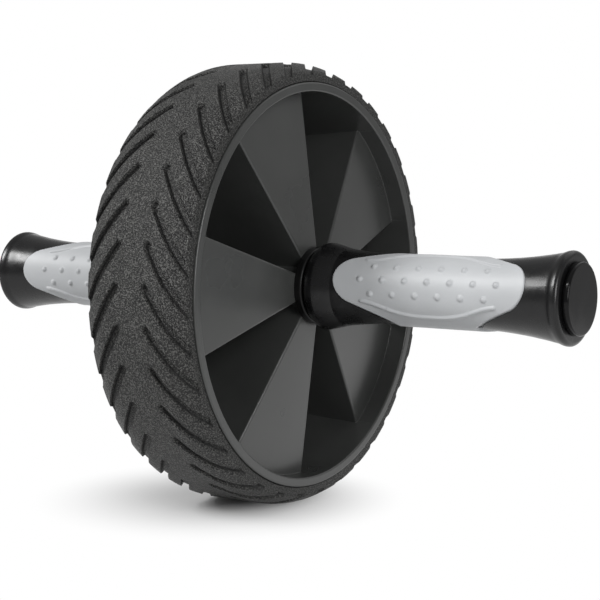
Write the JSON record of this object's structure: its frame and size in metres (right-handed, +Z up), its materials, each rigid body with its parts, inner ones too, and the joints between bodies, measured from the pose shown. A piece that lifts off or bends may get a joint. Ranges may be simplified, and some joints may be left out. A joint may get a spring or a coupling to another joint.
{
  "type": "ab wheel roller",
  "caption": "Ab wheel roller: a grooved foam tyre on a deep-webbed wheel that turns freely on a steel axle, with a waisted, soft-padded grip on each side.",
  "frame": {"origin": "on the floor under the middle of the wheel, midway between the two grips", "axes": "+X along the axle towards the right-hand grip of the picture's view, +Y away from the viewer, +Z up"},
  "size_m": [0.295, 0.19, 0.19],
  "materials": {
    "foam_rubber": "grainy moulded foam rubber",
    "core_plastic": "satin injection-moulded ABS",
    "cover_plastic": "semi-gloss moulded ABS",
    "bush_plastic": "natural moulded acetal",
    "steel": "turned and zinc-plated steel",
    "handle_core_plastic": "moulded polypropylene",
    "grip_plastic": "satin moulded polypropylene",
    "soft_grip_rubber": "soft matt thermoplastic rubber",
    "cap_plastic": "glossy moulded ABS"
  },
  "bodies": {
    "handles": {"axle": "steel", "thrust_washer_right": "steel", "thrust_washer_left": "steel", "handle_core_right": "handle_core_plastic", "handle_core_left": "handle_core_plastic", "grip_body_right": "grip_plastic", "grip_body_left": "grip_plastic", "grip_pad_right": "soft_grip_rubber", "grip_pad_left": "soft_grip_rubber", "end_cap_right": "cap_plastic", "end_cap_left": "cap_plastic", "bolt_washer_right": "steel", "bolt_washer_left": "steel", "end_bolt_right": "steel", "end_bolt_left": "steel"},
    "wheel": {"tyre": "foam_rubber", "wheel_core": "core_plastic", "hub_bush_right": "bush_plastic", "hub_bush_left": "bush_plastic", "hub_cover_right": "cover_plastic", "hub_cover_left": "cover_plastic"}
  },
  "joints": [
    {"name": "wheel_spin", "type": "hinge", "parent": "handles", "child": "wheel", "pos_m": [0, 0, 0.095], "axis": [1, 0, 0], "continuous": true}
  ]
}
